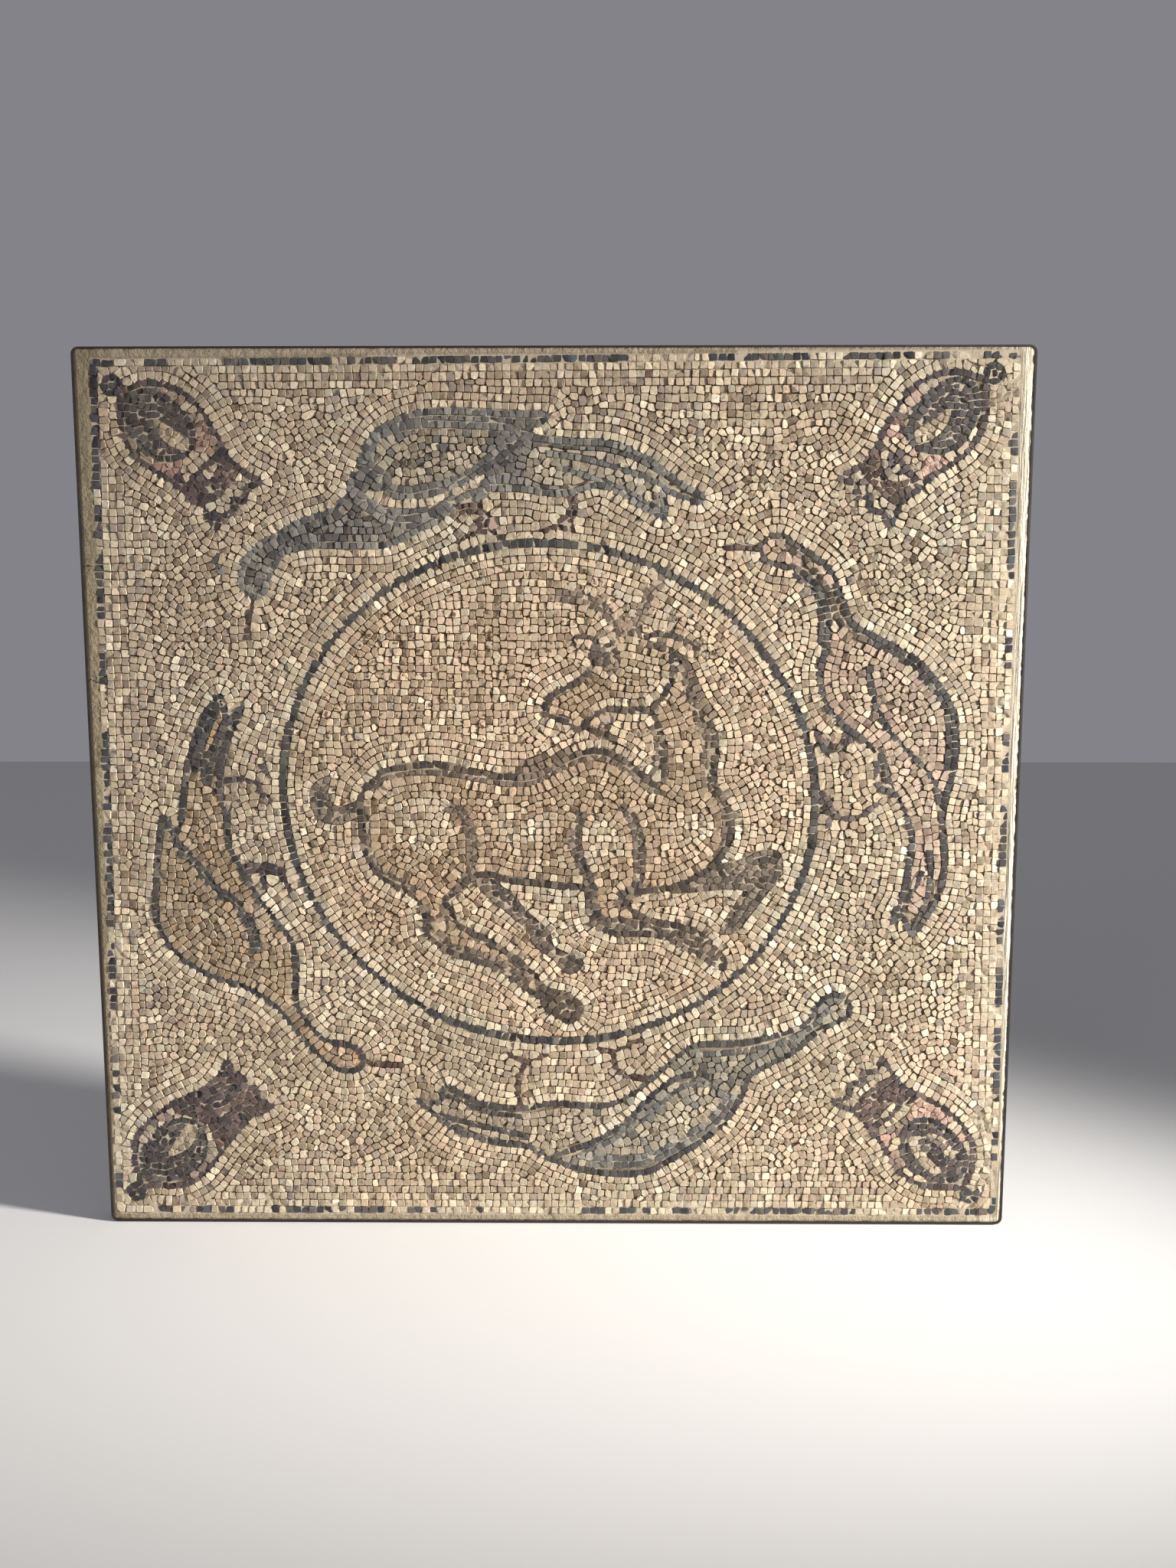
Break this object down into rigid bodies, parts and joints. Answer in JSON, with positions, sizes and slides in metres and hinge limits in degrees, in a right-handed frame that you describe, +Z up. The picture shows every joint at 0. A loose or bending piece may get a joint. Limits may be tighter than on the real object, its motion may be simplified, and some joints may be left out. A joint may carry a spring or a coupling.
{
  "type": "mosaic panel",
  "caption": "Square wall panel of stone mosaic in a mortar bed: an antelope in a ring, four ducks round it and a bud in each corner, edged with a metal band.",
  "frame": {"origin": "the middle of the flat back, where the panel meets the wall", "axes": "+X runs to the right seen from the front, +Z up, and the picture faces -Y, so +Y points into the wall"},
  "size_m": [1.45, 0.04, 1.38],
  "materials": {
    "ground_stone": "matt worn limestone",
    "dark_stone": "matt worn basalt and slate",
    "tan_stone": "matt worn limestone",
    "grey_stone": "matt worn limestone",
    "pink_stone": "matt worn limestone",
    "purple_stone": "matt worn limestone",
    "border_stone": "matt broken limestone and slate",
    "mortar": "matt sandy lime mortar",
    "edging": "worn dark steel strip"
  },
  "bodies": {
    "root": {"antelope_body": "tan_stone", "antelope_head": "tan_stone", "antelope_outline": "dark_stone", "border_row": "border_stone", "bottom_duck_body": "grey_stone", "bottom_duck_outline": "dark_stone", "bottom_left_bud_flesh": "pink_stone", "bottom_left_bud_leaf": "purple_stone", "bottom_left_bud_mouth": "purple_stone", "bottom_left_bud_outline": "dark_stone", "bottom_right_bud_flesh": "pink_stone", "bottom_right_bud_leaf": "purple_stone", "bottom_right_bud_mouth": "purple_stone", "bottom_right_bud_outline": "dark_stone", "edge_band": "edging", "left_duck_body": "tan_stone", "left_duck_outline": "dark_stone", "medallion_ground": "ground_stone", "mortar_bed": "mortar", "outer_ground": "ground_stone", "right_duck_body": "pink_stone", "right_duck_outline": "dark_stone", "ring": "dark_stone", "top_duck_body": "grey_stone", "top_duck_outline": "dark_stone", "top_duck_wing": "grey_stone", "top_left_bud_flesh": "pink_stone", "top_left_bud_leaf": "purple_stone", "top_left_bud_mouth": "purple_stone", "top_left_bud_outline": "dark_stone", "top_right_bud_flesh": "pink_stone", "top_right_bud_leaf": "purple_stone", "top_right_bud_mouth": "purple_stone", "top_right_bud_outline": "dark_stone"}
  },
  "joints": []
}
